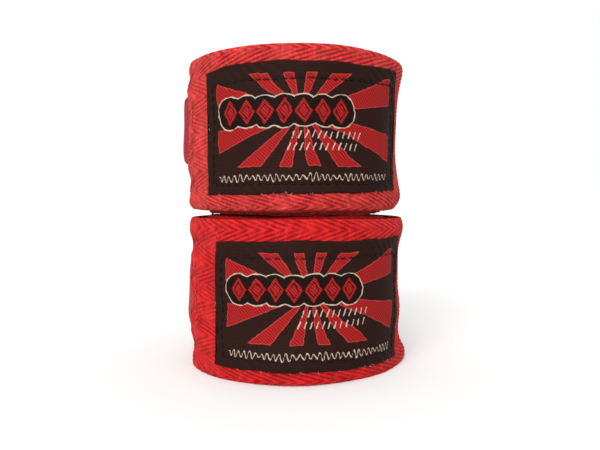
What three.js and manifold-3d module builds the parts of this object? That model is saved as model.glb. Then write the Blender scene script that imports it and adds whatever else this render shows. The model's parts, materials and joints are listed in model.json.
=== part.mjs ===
// A pair of rolled hand wraps, stacked on their rims with both axes upright.
// Each wrap is one long cotton band, wound from the thumb loop at its core to the label and the
// hook-tape strap at its free end. Millimetres, +Z up, labels towards -Y.
import * as THREE from "three";
import { mergeVertices } from "three/addons/utils/BufferGeometryUtils.js";
import Module from "manifold-3d";

const manifold = await Module();
manifold.setup();

// ---- Driving dimensions, in millimetres, and in degrees where the name says so ----

// The band and the roll that it makes
const bandWidth = 50;
const bandThickness = 0.65;
const windGap = 0.3; // air between one turn and the next
const rollRadius = 37; // outside of the fixed turns, at the fold where the tail opens
const coreRadius = 4.9; // least radius of the hole that the first turn leaves
const flushTurns = 5; // outer turns whose rims are level
const shoulderTurns = 1.5; // turns over which the rims step up to the core
const coreShift = 1.2; // how far the core is pushed out of the roll at one end
const foldGap = 0.3; // slit between two stretches of band at a fold
const seatGap = 0.3; // clearance between a sewn piece and what it is sewn to

// The label on the tail
const labelLength = 70.5;
const labelHeight = 39.3;
const labelThickness = 0.4;
const labelMargin = 2; // bare band between the label and the fold on each side of it
const labelSeamInset = 3; // from the label's ends and lower edge to the middle of its stitching
const labelSeamTop = 5.2; // the same from its upper edge
const seamInset = 1.6; // the same on the strap and the loop patch
const threadWidth = 0.8;
const threadHeight = 0.25;

// The free end and its fastening
const endLength = 16; // from the tab's fold to the hem
const strapLength = 36;
const strapHeight = 23;
const strapThickness = 1;
const strapRoot = 10; // length of strap sewn under the band's end
const strapCorner = 6; // corner radius at the strap's tip
const drapeLength = 6; // height over which the band's end falls back beside the strap's root
const riseLength = 4; // length over which the strap steps up onto the patch
const patchLength = 36;
const patchHeight = 25;
const patchBase = 0.3; // woven backing of the loop patch
const patchPile = 0.6; // loop pile above the backing
const patchBorder = 2.6; // backing left bare for the stitching

// The thumb loop folded into the core
const loopTapeWidth = 15;
const loopTapeThickness = 0.6;
const loopEye = 0.15; // slit between the loop's two layers
const loopFoldGap = 0.15; // air between the turns of the folded loop
const loopTurns = 2;
const bartackLength = 2.5;
const bartackThickness = 1.1;

// How the two rolls stand
const rollGap = 0.3; // between the two cores
const lowerFacing = 12.5; // degrees that the label's middle is turned from -Y towards +X
const upperFacing = 8;
const lowerPatchSetback = 9; // extra length between the hem and the loop patch, along the band
const upperPatchSetback = 0;
const lowerLabelDrop = 0.7; // how far the label's middle lies below the band's
const upperLabelDrop = -0.1;
const lowerStrapRaise = -1; // how far the strap's middle lies above the band's
const upperStrapRaise = 2.5;

// ---- The winding ----
// A place along the band is its winding angle in degrees: 0 at the tail's fold, positive towards the free
// end and negative back to the core. Seen from above, the band winds outwards clockwise.

const pitch = bandThickness + windGap;
const turns = Math.floor((rollRadius - bandThickness - coreRadius) / pitch);
const coreStart = -360 * turns;
const holeRadius = rollRadius - bandThickness - pitch * turns;

const degrees = (length, radius = rollRadius) => THREE.MathUtils.radToDeg(length / radius);
const outside = (angle) => rollRadius + (pitch * angle) / 360;
const under = (angle) => outside(angle - 360); // the turn that lies under this place
const tailInside = (angle) => under(angle) + windGap;
const tailOutside = (angle) => tailInside(angle) + bandThickness;
const labelInside = (angle) => tailOutside(angle) + seatGap;

const labelSpan = degrees(labelLength, rollRadius + seatGap);
const labelFrom = degrees(labelMargin);
const labelTo = labelFrom + labelSpan;
const tabFold = labelTo + degrees(labelMargin);
const hem = tabFold + degrees(endLength);
const rootFrom = hem - degrees(strapRoot);
const strapTip = rootFrom + degrees(strapLength);
const labelMiddle = (labelFrom + labelTo) / 2;

// ---- Solids ----

// Turns a closed geometry into a manifold-3d solid, and a solid back into a geometry.
function toSolid(geometry) {
  const bare = geometry.clone();
  bare.deleteAttribute("normal");
  bare.deleteAttribute("uv");
  const merged = mergeVertices(bare, 1e-4);
  return new manifold.Manifold(
    new manifold.Mesh({
      numProp: 3,
      vertProperties: merged.attributes.position.array,
      triVerts: new Uint32Array(merged.index.array),
    }),
  );
}

function toGeometry(solid) {
  const mesh = solid.getMesh();
  const geometry = new THREE.BufferGeometry();
  geometry.setAttribute("position", new THREE.BufferAttribute(mesh.vertProperties, 3));
  geometry.setIndex(new THREE.BufferAttribute(mesh.triVerts, 1));
  geometry.computeVertexNormals();
  return geometry;
}

const cut = (whole, tool) => toGeometry(toSolid(whole).subtract(toSolid(tool)));
const join = (one, other) => toGeometry(toSolid(one).add(toSolid(other)));

// Evenly spaced winding angles, no further apart than the step.
function stationsBetween(from, to, step = 4) {
  const count = Math.ceil((to - from) / step);
  return Array.from({ length: count + 1 }, (_, i) => from + ((to - from) * i) / count);
}

// A plate bent round the axis: a box whose length follows the stations, and whose height is cut into rows at
// shares of it from 0 to 1. At each station and share its faces stand at the inner and outer radius.
function bentPlate({ stations, shares = [0, 1], inner, outer, height }) {
  const last = stations.length - 1;
  const rows = shares.length - 1;
  const geometry = new THREE.BoxGeometry(1, 1, 1, last, rows, 1);
  const position = geometry.attributes.position;
  for (let i = 0; i < position.count; i += 1) {
    const angle = stations[last - Math.round((position.getX(i) + 0.5) * last)];
    const share = shares[Math.round((position.getY(i) + 0.5) * rows)];
    const radius = position.getZ(i) > 0 ? outer(angle, share) : inner(angle, share);
    const turned = THREE.MathUtils.degToRad(labelMiddle - angle);
    position.setXYZ(i, radius * Math.sin(turned), -radius * Math.cos(turned), height(angle, share));
  }
  return geometry;
}

// A plate of one height, centred on a level.
function levelPlate(from, to, tall, level, inner, outer) {
  const height = (_, share) => level + tall * (share - 0.5);
  return bentPlate({ stations: stationsBetween(from, to), inner, outer, height });
}

// A line of stitching round a rectangle: a flat ring of thread on the outer face of what is sewn. The middle
// of the thread runs from one winding angle to another, between a low and a high level.
function stitchedRing({ from, to, low, high, face }) {
  const lip = 1; // how far the cutter stands past the ring on both faces
  const bottom = (angle) => face(angle) + seatGap;
  const top = (angle) => bottom(angle) + threadHeight;
  const rectangle = (grow, inner, outer) => {
    const turned = degrees(grow);
    return levelPlate(from - turned, to + turned, high - low + 2 * grow, (low + high) / 2, inner, outer);
  };
  return cut(
    rectangle(threadWidth / 2, bottom, top),
    rectangle(-threadWidth / 2, (angle) => bottom(angle) - lip, (angle) => top(angle) + lip),
  );
}

// The same round a plate that is centred on a level, at the usual inset from its edges.
function edgeStitching(from, to, tall, level, face) {
  const turned = degrees(seamInset);
  const half = tall / 2 - seamInset;
  return stitchedRing({ from: from + turned, to: to - turned, low: level - half, high: level + half, face });
}

// Winding angles of the wound band: 12 to a turn near the core, then 24, and 48 for the outer turns. Each
// step is half the one before, so that the flats of one turn clear those of the next.
const coarseStep = 30;
function woundStations() {
  const coarseUntil = -360 * Math.round(0.62 * turns);
  const fineFrom = -360 * 3;
  const stations = [];
  for (let angle = coreStart; angle < coarseUntil; angle += coarseStep) stations.push(angle);
  for (let angle = coarseUntil; angle < fineFrom; angle += coarseStep / 2) stations.push(angle);
  for (let angle = fineFrom; angle < 0; angle += coarseStep / 4) stations.push(angle);
  stations.push(-degrees(foldGap / 2));
  return stations;
}

// Every turn of the band up to the tail's fold, one spiral solid. The rims of the outer turns are level,
// and the core stands out by the shift, up or down.
function woundBand(shift) {
  const rise = (angle) =>
    shift * THREE.MathUtils.smoothstep(-angle / 360, flushTurns, flushTurns + shoulderTurns);
  return bentPlate({
    stations: woundStations(),
    inner: (angle) => outside(angle) - bandThickness,
    outer: outside,
    height: (angle, share) => bandWidth * share + rise(angle),
  });
}

// The stretch of band behind the label, from the tail's fold to the tab's.
function bandTail() {
  const from = degrees(foldGap / 2);
  const to = tabFold - degrees(foldGap / 2);
  return levelPlate(from, to, bandWidth, bandWidth / 2, tailInside, tailOutside);
}

// How far the band's end stands off to clear the strap's root: nothing at the tab's fold, and the whole of
// it over the root. Above and below the root the band falls back towards the roll.
const rootEdge = strapHeight / 2 + seatGap; // from the strap's middle
const strapLevel = (raise) => bandWidth / 2 + raise;
const rootRelief = (angle, share, raise) => {
  const { smoothstep } = THREE.MathUtils;
  const along = smoothstep(angle, tabFold + degrees(foldGap), rootFrom - degrees(foldGap));
  const fromMiddle = Math.abs(share * bandWidth - strapLevel(raise));
  const across = 1 - smoothstep(fromMiddle, rootEdge, rootEdge + drapeLength);
  return (strapThickness + seatGap) * along * across;
};
const endInside = (angle, share, raise) => tailInside(angle) + rootRelief(angle, share, raise);
const endOutside = (angle, share, raise) => endInside(angle, share, raise) + bandThickness;

// The last stretch of band, from the tab's fold to the hem, lying over the strap's root. Its rows of points
// lie at the root's edges and along the slopes beside them.
function bandEnd(raise) {
  const rowsUp = [0, 0.25, 0.5, 0.75, 1].map((share) => rootEdge + drapeLength * share);
  const rows = [...rowsUp.map((row) => -row).reverse(), 0, ...rowsUp];
  return bentPlate({
    stations: stationsBetween(tabFold + degrees(foldGap / 2), hem, 3),
    shares: [0, ...rows.map((row) => (strapLevel(raise) + row) / bandWidth), 1],
    inner: (angle, share) => endInside(angle, share, raise),
    outer: (angle, share) => endOutside(angle, share, raise),
    height: (_, share) => bandWidth * share,
  });
}

const labelLevel = (drop) => bandWidth / 2 - drop;

function label(drop) {
  const outer = (angle) => labelInside(angle) + labelThickness;
  return levelPlate(labelFrom, labelTo, labelHeight, labelLevel(drop), labelInside, outer);
}

function labelStitching(drop) {
  return stitchedRing({
    from: labelFrom + degrees(labelSeamInset),
    to: labelTo - degrees(labelSeamInset),
    low: labelLevel(drop) - labelHeight / 2 + labelSeamInset,
    high: labelLevel(drop) + labelHeight / 2 - labelSeamTop,
    face: (angle) => labelInside(angle) + labelThickness,
  });
}

const patchTop = patchBase + patchPile;
const patchFrom = (setback) => hem + degrees(riseLength + setback);
const patchSeat = (angle) => under(angle) + seatGap;

// The strap lies on the turn under it as far as the hem, then steps up onto the loop patch.
function hookStrap(setback, raise) {
  const lift = (angle) =>
    (patchTop + seatGap) *
    THREE.MathUtils.smoothstep(angle, patchFrom(setback) - degrees(riseLength), patchFrom(setback));
  const inner = (angle) => under(angle) + windGap + lift(angle);
  const half = (angle) => {
    const past = (THREE.MathUtils.degToRad(angle - strapTip) * rollRadius + strapCorner) / strapCorner;
    return strapHeight / 2 - strapCorner * (1 - Math.sqrt(1 - THREE.MathUtils.clamp(past, 0, 0.98) ** 2));
  };
  const cornerFrom = strapTip - degrees(strapCorner);
  const stations = [
    ...stationsBetween(rootFrom, cornerFrom, 2).slice(0, -1),
    ...stationsBetween(cornerFrom, strapTip, 1.5),
  ];
  return bentPlate({
    stations,
    inner,
    outer: (angle) => inner(angle) + strapThickness,
    height: (angle, share) => strapLevel(raise) + half(angle) * (2 * share - 1),
  });
}

// The rectangle of stitches that holds the strap's root under the band's end.
function strapStitching(raise) {
  const overRoot = (angle) => endOutside(angle, strapLevel(raise) / bandWidth, raise);
  return edgeStitching(rootFrom, hem, strapHeight, strapLevel(raise), overRoot);
}

// The loop patch: a woven backing with a border left bare, and the pile standing on it.
function loopPatch(setback) {
  const from = patchFrom(setback);
  const to = from + degrees(patchLength);
  const middle = bandWidth / 2;
  const backing = (angle) => patchSeat(angle) + patchBase;
  const border = degrees(patchBorder);
  const sunk = patchBase / 2; // the pile is rooted this deep in the backing
  return join(
    levelPlate(from, to, patchHeight, middle, patchSeat, backing),
    levelPlate(
      from + border,
      to - border,
      patchHeight - 2 * patchBorder,
      middle,
      (angle) => backing(angle) - sunk,
      (angle) => backing(angle) + patchPile,
    ),
  );
}

function loopPatchStitching(setback) {
  const from = patchFrom(setback);
  const backing = (angle) => patchSeat(angle) + patchBase;
  return edgeStitching(from, from + degrees(patchLength), patchHeight, bandWidth / 2, backing);
}

// The thumb loop is a flat-pressed ring of tape, coiled up inside the hole of the first turn. Its middle
// line is a spiral that starts at the band's first end and runs inwards.
const loopHalf = loopTapeThickness + loopEye / 2;
const loopPitch = 2 * loopHalf + loopFoldGap;
// What stands inside the core keeps clear of the flats of its innermost turn.
const coreFace = holeRadius * Math.cos(THREE.MathUtils.degToRad(coarseStep / 2)) - seatGap;
const loopStartRadius = coreFace - loopHalf;
const loopStart = coreStart - degrees(foldGap + loopHalf, loopStartRadius);

// Outline of a strip of the given half width that follows the loop's middle line, with round ends.
function coiledOutline(half) {
  const perTurn = 20;
  const count = perTurn * loopTurns;
  const endSteps = 4;
  const place = (turn) => {
    const radius = loopStartRadius - loopPitch * turn;
    const turned = THREE.MathUtils.degToRad(labelMiddle - loopStart + 360 * turn);
    return new THREE.Vector2(radius * Math.sin(turned), -radius * Math.cos(turned));
  };
  const heading = (turn) => place(turn + 1e-3).sub(place(turn - 1e-3)).normalize();
  const beside = (turn, angle) => {
    const centre = place(turn);
    return heading(turn).rotateAround(new THREE.Vector2(), angle).multiplyScalar(half).add(centre);
  };
  const points = [];
  for (let i = 0; i <= count; i += 1) points.push(beside(i / perTurn, -Math.PI / 2));
  for (let i = 1; i < endSteps; i += 1) {
    points.push(beside(loopTurns, -Math.PI / 2 + (Math.PI * i) / endSteps));
  }
  for (let i = count; i >= 0; i -= 1) points.push(beside(i / perTurn, Math.PI / 2));
  for (let i = 1; i < endSteps; i += 1) {
    points.push(beside(0, Math.PI / 2 + (Math.PI * i) / endSteps));
  }
  return points;
}

function thumbLoop(shift) {
  const outline = new THREE.Shape(coiledOutline(loopHalf));
  outline.holes.push(new THREE.Path(coiledOutline(loopEye / 2)));
  const geometry = new THREE.ExtrudeGeometry(outline, { depth: loopTapeWidth, bevelEnabled: false });
  return geometry.translate(0, 0, bandWidth / 2 + shift - loopTapeWidth / 2);
}

// The dense bar of stitches that closes the loop and holds its root to the band's first end.
function thumbLoopBartack(shift) {
  return bentPlate({
    stations: stationsBetween(coreStart, coreStart + degrees(bartackLength, coreFace), 12),
    inner: () => coreFace - bartackThickness,
    outer: () => coreFace,
    height: (_, share) => bandWidth / 2 + shift + loopTapeWidth * (share - 0.5),
  });
}

// ---- Materials ----

const matte = (color, roughness) => new THREE.MeshStandardMaterial({ color, roughness, metalness: 0 });
const materials = {
  cotton: () => matte(0xc8262b, 0.95),
  satin: () => matte(0x231f1e, 0.5),
  blackThread: () => matte(0x17130f, 0.7),
  redThread: () => matte(0xb3202a, 0.7),
  hookTape: () => matte(0xb01a38, 0.55),
  loopPile: () => matte(0xb41c30, 0.98),
  tape: () => matte(0xb9242a, 0.9),
};

// ---- Assembly ----

function part(name, geometry, material) {
  const mesh = new THREE.Mesh(geometry, material);
  mesh.name = name;
  return mesh;
}

// One rolled wrap, standing on its rim with its label's middle towards -Y before it is turned.
function rolledWrap({ prefix, shift, facing, setback, drop, raise, level }) {
  const roll = new THREE.Group();
  roll.add(
    part(`${prefix}_wound_band`, woundBand(shift), materials.cotton()),
    part(`${prefix}_band_tail`, bandTail(), materials.cotton()),
    part(`${prefix}_band_end`, bandEnd(raise), materials.cotton()),
    part(`${prefix}_label`, label(drop), materials.satin()),
    part(`${prefix}_label_stitching`, labelStitching(drop), materials.blackThread()),
    part(`${prefix}_hook_strap`, hookStrap(setback, raise), materials.hookTape()),
    part(`${prefix}_strap_stitching`, strapStitching(raise), materials.redThread()),
    part(`${prefix}_loop_patch`, loopPatch(setback), materials.loopPile()),
    part(`${prefix}_loop_patch_stitching`, loopPatchStitching(setback), materials.redThread()),
    part(`${prefix}_thumb_loop`, thumbLoop(shift), materials.tape()),
    part(`${prefix}_thumb_loop_bartack`, thumbLoopBartack(shift), materials.redThread()),
  );
  roll.rotation.z = THREE.MathUtils.degToRad(facing);
  roll.position.z = level;
  return roll;
}

const pair = new THREE.Group();
pair.add(
  rolledWrap({
    prefix: "lower",
    shift: coreShift,
    facing: lowerFacing,
    setback: lowerPatchSetback,
    drop: lowerLabelDrop,
    raise: lowerStrapRaise,
    level: 0,
  }),
  rolledWrap({
    prefix: "upper",
    shift: -coreShift,
    facing: upperFacing,
    setback: upperPatchSetback,
    drop: upperLabelDrop,
    raise: upperStrapRaise,
    level: bandWidth + 2 * coreShift + rollGap,
  }),
);

// The origin is the middle of the pair's footprint, on the surface that it stands on. The straps stand out
// on one side only, so the rolls' axis lies a little to the other side of it.
const model = new THREE.Group();
model.add(pair);
model.updateMatrixWorld(true);
const middle = new THREE.Box3().setFromObject(pair, true).getCenter(new THREE.Vector3());
pair.position.set(-middle.x, -middle.y, 0);

export default model;
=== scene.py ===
import json
import math

import bpy
import numpy as np
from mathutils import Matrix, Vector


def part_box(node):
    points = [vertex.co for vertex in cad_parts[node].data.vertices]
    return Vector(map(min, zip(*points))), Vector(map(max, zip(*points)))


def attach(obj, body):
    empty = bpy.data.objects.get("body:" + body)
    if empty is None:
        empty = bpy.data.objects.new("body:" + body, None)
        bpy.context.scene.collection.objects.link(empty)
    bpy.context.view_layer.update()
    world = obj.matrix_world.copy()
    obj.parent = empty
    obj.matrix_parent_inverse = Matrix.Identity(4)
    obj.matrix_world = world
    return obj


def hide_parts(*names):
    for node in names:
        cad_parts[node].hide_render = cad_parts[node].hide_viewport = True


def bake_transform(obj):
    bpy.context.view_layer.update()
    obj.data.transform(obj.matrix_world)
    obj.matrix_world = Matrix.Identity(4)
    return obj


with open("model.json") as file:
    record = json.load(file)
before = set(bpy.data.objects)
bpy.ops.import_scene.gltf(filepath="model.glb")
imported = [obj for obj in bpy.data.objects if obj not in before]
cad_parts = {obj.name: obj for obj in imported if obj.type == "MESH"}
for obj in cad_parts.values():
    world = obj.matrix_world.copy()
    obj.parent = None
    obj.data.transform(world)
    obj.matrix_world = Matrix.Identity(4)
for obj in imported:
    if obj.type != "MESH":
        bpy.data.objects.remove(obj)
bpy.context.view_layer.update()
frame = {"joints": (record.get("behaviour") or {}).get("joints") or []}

mm = 0.001  # everything below is worked out in millimetres and stored in metres

# The winding. A place on the band is its winding angle in degrees: 0 at the tail's fold, positive
# towards the free end, negative back to the core. Seen from above the band winds outwards clockwise.
winding = {
    "radius": 37.0,  # outside of the roll at the tail's fold
    "pitch": 0.95,  # from one turn to the next
    "turns": 33,
    "width": 50.0,
    "thickness": 0.65,
    "flushTurns": 5.0,  # outer turns whose rims are level
    "shoulderTurns": 1.5,  # turns over which the rims step up to the core
    "coreShift": 1.2,  # how far the core stands out towards the other roll
}


def turnOf(length, radius=winding["radius"]):
    return math.degrees(length / radius)  # the angle that a length takes up round the roll


label = {
    "length": 70.5,
    "height": 39.3,
    "margin": 2.0,  # bare band between the label and the fold on each side of it
    "seat": 0.3,
    "thickness": 0.42,
    "seamInset": 3.0,
    "seamTop": 5.2,
    "cell": 0.3,  # spacing of the mesh
    "edge": 0.7,  # rounding of the folded edges
}
strap = {"length": 36.0, "height": 23.0, "root": 10.0, "corner": 6.0, "backing": 0.55, "hook": 0.45}
patch = {"length": 36.0, "height": 25.0, "backing": 0.3, "pile": 0.6, "border": 2.6, "rise": 4.0}
freeEnd = {"length": 16.0, "relief": 1.3, "drapeFrom": 11.8, "drapeTo": 17.8}

labelFrom = turnOf(label["margin"])
labelTo = labelFrom + turnOf(label["length"], winding["radius"] + label["seat"])
labelMiddle = (labelFrom + labelTo) / 2
tabFold = labelTo + turnOf(label["margin"])
hem = tabFold + turnOf(freeEnd["length"])
rootFrom = hem - turnOf(strap["root"])
strapTip = rootFrom + turnOf(strap["length"])


def outside(angle):
    # radius of the band's outer face: it grows by one pitch in each turn
    return winding["radius"] + winding["pitch"] * angle / 360


def lengthAt(angle):
    # length of band from the fold to a winding angle: the radius summed over the angle
    return math.radians(1) * (winding["radius"] * angle + winding["pitch"] * angle**2 / 720)


def angleAt(length):
    # the winding angle at a length of band: the root of lengthAt's square law
    growth = winding["pitch"] / 720
    root = np.sqrt(winding["radius"] ** 2 + 4 * growth * np.degrees(length))
    return (root - winding["radius"]) / (2 * growth)


def smooth(x, low, high):
    # 0 below low, 1 above high, and an S-shaped rise between them
    t = np.clip((np.asarray(x, float) - low) / (high - low), 0, 1)
    return t * t * (3 - 2 * t)


def bell(x, middle, spread):
    # 1 at the middle, falling off as e to the minus square of the distance in spreads
    return np.exp(-(((x - middle) / spread) ** 2))


def waver(x, y, size, seed, waves=7):
    # smooth random height, about -1 to 1: a sum of plane waves of many headings, each size to twice size long
    rng = np.random.default_rng(seed)
    total = 0
    for heading, phase, stretch in rng.random((waves, 3)):
        turn = 2 * math.pi * heading
        total = total + np.sin(
            2 * math.pi * ((x * math.cos(turn) + y * math.sin(turn)) / (size * (1 + stretch)) + phase)
        )
    return total / math.sqrt(waves)


# What differs between the two rolls. A swell pushes the outer turns out or in: how far, at which direction
# from the front and over what spread of degrees, and at which level and over what height. A label bend moves
# the label's cloth: how far rightwards, at which place and over what spread, and the same upwards.
rolls = [
    {
        "name": "lower",
        "setback": 9.0,
        "zigzag": (1.2, 47.0),  # from the lowest level at which the ribs turn back to the highest
        # the lower roll's colours are deeper and more saturated than the upper's: painted shade, for the
        # lower roll catching less sheen
        "dyeAndPaintedLight": {"crown": (178, 26, 28), "paintedGrooveShade": (104, 5, 10), "wornAndSheen": (186, 46, 44)},
        "labelDrop": 0.7,
        "strapRaise": -1.0,  # how far the strap's middle lies above the band's
        "tuck": 0.9,  # how far the rim that faces the other roll is drawn in
        "rimRise": 0.45,  # how far that rim is raised
        "bow": 1.4,  # how far the strap bows out past the hem
        "shift": winding["coreShift"],
        "meetsAt": winding["width"],  # the rim that faces the other roll
        "swells": [
            (1.7, 82, 26, 48, 6),
            (3.0, 84, 18, 2, 4.2),
            (0.9, 82, 22, 18, 6),
            (0.9, 0, 75, 7, 4.5),
            (1.5, -88, 24, 48, 4.5),
            (-1.7, -84, 24, 28, 13),
            (-1.4, -86, 24, 8, 5),
            (0.8, -90, 30, 0, 2.5),
        ],
        "labelBends": [(1.6, 0, 6, 0, 5, 3.2), (0.4, 0, 7, -0.6, 39.3, 6), (0, 45, 30, -0.55, 0, 10),
                       (-2.6, 70.5, 9, 0, 4, 7), (0.6, 70.5, 14, 0.7, 39.3, 12)],
        "seed": 11,
    },
    {
        "name": "upper",
        "setback": 0.0,
        "zigzag": (1.2, 48.6),
        # the upper roll's colours are paler and pinker than the lower's: painted sheen from the light that
        # falls more on the upper roll
        "dyeAndPaintedLight": {"crown": (180, 46, 44), "paintedGrooveShade": (104, 11, 15), "wornAndSheen": (192, 78, 71)},
        "labelDrop": -0.1,
        "strapRaise": 2.5,
        "tuck": 1.5,
        "rimRise": 0.55,
        "bow": 1.6,
        "shift": -winding["coreShift"],
        "meetsAt": 0.0,
        "swells": [
            (1.1, 82, 22, 49, 5),
            (0.7, 84, 24, 5, 4),
            (-1.3, 82, 26, 23, 14),
            (-1.3, -82, 24, 29, 17),
            (1.1, -86, 24, 1, 4),
        ],
        "labelBends": [(-0.3, 0, 7, -1.0, 39.3, 9), (0.6, 70.5, 15, 1.5, 0, 9),
                       (0.6, 70.5, 14, 1.2, 39.3, 12)],
        "seed": 23,
    },
]


def standing(roll):
    # The axis and facing follow from the two hinges of the tail: both lie on the band's outer face, one at
    # the fold and one at the tab, so their difference as a complex number gives the heading of the first.
    places = {joint["name"]: joint.get("pos_m") for joint in frame["joints"]}
    fold, tab = (complex(*places[f"{roll['name']}_{name}"][:2]) / mm for name in ("tail_swing", "tab_peel"))
    heading = (tab - fold) / (outside(tabFold) * np.exp(-1j * math.radians(tabFold)) - outside(0))
    axis = fold - outside(0) * heading
    roll["axis"] = (axis.real, axis.imag)
    roll["facing"] = math.degrees(np.angle(heading)) + 90 - labelMiddle
    roll["level"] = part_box(f"{roll['name']}_band_tail")[0].z / mm


def swell(roll, direction, v, depth):
    # Outward push of the soft outer turns: a sum of bells in direction and level, less a tuck of each rim
    # towards the axis. All fade with depth below the outer face, and what presses inwards fades slowly, so
    # that a turn never comes through the one over it.
    push = 0
    for amount, towards, spread, level, tall in roll["swells"]:
        off = (direction - towards + 180) % 360 - 180
        push = push + amount * bell(off, 0, spread) * bell(v, level, tall)
    push = push + 0.22 * waver(direction * 0.65, v, 16, roll["seed"])
    fromMeeting = np.abs(v - roll["meetsAt"])
    fromFree = winding["width"] - fromMeeting
    tuck = roll["tuck"] * np.clip(1 - fromMeeting / 4.5, 0, 1) ** 2
    tuck = tuck + 0.4 * np.clip(1 - fromFree / 2.0, 0, 1) ** 2
    outwards, inwards = np.maximum(push, 0), np.minimum(push, 0)
    return outwards * np.exp(-depth / 5) + inwards * np.exp(-depth / 16) - tuck * np.exp(-depth / 8)


def wrapped(roll, length, v, n):
    # A place on the cloth, as length along the band, level across it and height above its outer face,
    # becomes a place in the frame: the length turns into a direction and a radius about the roll's axis.
    angle = angleAt(length)
    turned = labelMiddle - angle
    direction = turned + roll["facing"]
    radius = outside(angle) + n
    depth = np.clip(winding["radius"] - 0.5 - radius, 0, None)
    radius = radius + swell(roll, direction, v, depth)
    rise = roll["shift"] * smooth(-angle / 360, winding["flushTurns"],
                                  winding["flushTurns"] + winding["shoulderTurns"])
    nearMeeting = np.clip(1 - np.abs(v - roll["meetsAt"]) / 6, 0, 1)
    rise = rise + roll["rimRise"] * nearMeeting * np.exp(-depth / 1.3)
    rise = rise + 0.2 * waver(direction * 0.65, depth * 3, 30, roll["seed"] + 1) * np.exp(-depth / 9)
    around = np.radians(direction)
    height = np.clip(roll["level"] + v + rise, 0, None)  # cloth that would sink into the table lies on it
    return mm * np.stack(
        [roll["axis"][0] + radius * np.sin(around), roll["axis"][1] - radius * np.cos(around), height], -1)


# Meshes


def stripFaces(stations, ring, closed=False):
    # Four-sided faces of a strip whose closed cross-section has ring points at each station, with both ends
    # capped by faces that pair the points across the section, or joined to each other when it is closed.
    i = np.arange(stations if closed else stations - 1)[:, None]
    j = np.arange(ring)[None, :]
    here, there = i * ring, (i + 1) % stations * ring
    sides = np.stack([here + j, here + (j + 1) % ring, there + (j + 1) % ring, there + j], -1).reshape(-1, 4)
    if closed:
        return sides
    k = np.arange(ring // 2 - 1)
    cap = np.stack([k, k + 1, ring - 2 - k, ring - 1 - k], -1)
    return np.concatenate([sides, cap, cap[:, ::-1] + (stations - 1) * ring])


def makePiece(name, points, faces, finish, uv=None, layers=None):
    # Builds the mesh from arrays, with the faces turned outwards if their signed volume says they aren't.
    points = points.reshape(-1, 3)
    corners = points[faces]
    diagonals = np.cross(corners[:, 2] - corners[:, 0], corners[:, 3] - corners[:, 1])
    if np.sum(corners.mean(1) * diagonals) < 0:
        faces = faces[:, ::-1]
    mesh = bpy.data.meshes.new(name)
    mesh.vertices.add(len(points))
    mesh.vertices.foreach_set("co", points.astype(np.float32).ravel())
    mesh.loops.add(faces.size)
    mesh.loops.foreach_set("vertex_index", faces.astype(np.int32).ravel())
    mesh.polygons.add(len(faces))
    mesh.polygons.foreach_set("loop_start", np.arange(0, faces.size, 4, dtype=np.int32))
    mesh.update(calc_edges=True)
    mesh.shade_smooth()
    if uv is not None:
        chart = mesh.uv_layers.new(name="cloth")
        chart.uv.foreach_set("vector", uv.reshape(-1, 2)[faces.ravel()].astype(np.float32).ravel())
    for layer, values in (layers or {}).items():
        data = mesh.attributes.new(layer, "FLOAT", "POINT").data
        data.foreach_set("value", values.astype(np.float32).ravel())
    mesh.materials.append(finish)
    piece = bpy.data.objects.new(name, mesh)
    bpy.context.scene.collection.objects.link(piece)
    return piece


def planarTube(x, z, radius, sides):
    # A tube along a curve in the x-z plane: circles of the given radii, square to the curve's heading.
    headX, headZ = np.gradient(x), np.gradient(z)
    size = np.hypot(headX, headZ)
    around = 2 * np.pi * np.arange(sides) / sides
    out, across = radius[:, None] * np.cos(around), radius[:, None] * np.sin(around)
    leftX, leftZ = (headZ / size)[:, None], (headX / size)[:, None]
    return np.stack([x[:, None] - out * leftX, across, z[:, None] + out * leftZ], -1)


def scatter(roll, name, shape, places, finish, scale=1.0):
    # Copies of one small tube, each turned and set down on the cloth: places holds length, level, height
    # and heading for each copy, and the shape's own x runs along the heading.
    length, v, n, heading = (column[:, None, None] for column in np.asarray(places, float).T)
    size = np.broadcast_to(scale, (len(places),))[:, None, None]
    x, y, z = (shape[None, :, :, axis] * size for axis in range(3))
    points = wrapped(
        roll,
        length + x * np.cos(heading) - y * np.sin(heading),
        v + x * np.sin(heading) + y * np.cos(heading),
        n + z,
    )
    faces = stripFaces(*shape.shape[:2])
    copies = np.arange(len(places))[:, None, None] * shape.shape[0] * shape.shape[1]
    return makePiece(name, points, (faces[None] + copies).reshape(-1, 4), finish)


# Materials


def finishOf(name, **values):
    # A new material: its node tree, its shader, and a function that adds a node fed by values or links.
    material = bpy.data.materials.new(name)
    material.use_nodes = True
    tree = material.node_tree
    shader = tree.nodes["Principled BSDF"]
    for socket, value in values.items():
        shader.inputs[socket].default_value = value

    def add(kind, inputs=None, **settings):
        node = tree.nodes.new("ShaderNode" + kind)
        for key, value in settings.items():
            setattr(node, key, value)
        for key, value in (inputs or {}).items():
            if isinstance(value, bpy.types.NodeSocket):
                tree.links.new(value, node.inputs[key])
            else:
                node.inputs[key].default_value = value
        return node

    return material, tree, shader, add


def sumOf(add, operation, first, second=0.0):
    # one Math node: ADD, SUBTRACT or MULTIPLY of two numbers or links
    return add("Math", {0: first, 1: second}, operation=operation).outputs[0]


def mixed(add, share, first, second, blend="MIX"):
    # Colour mix: its two colour inputs are the seventh and eighth sockets.
    return add("Mix", {0: share, 6: first, 7: second}, data_type="RGBA", blend_type=blend).outputs[2]


def paint(red, green, blue):
    # sRGB 0 to 255 to the linear colour that a shader takes
    share = np.array([red, green, blue]) / 255
    return (*np.where(share < 0.04045, share / 12.92, ((share + 0.055) / 1.055) ** 2.4), 1.0)


cotton = {
    "yarn": 0.62,  # spacing of the yarns along the band
    "bump": 0.0001,
    "mottle": 0.3,  # how much lighter and darker the cloth gets from one millimetre to the next
}


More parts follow.
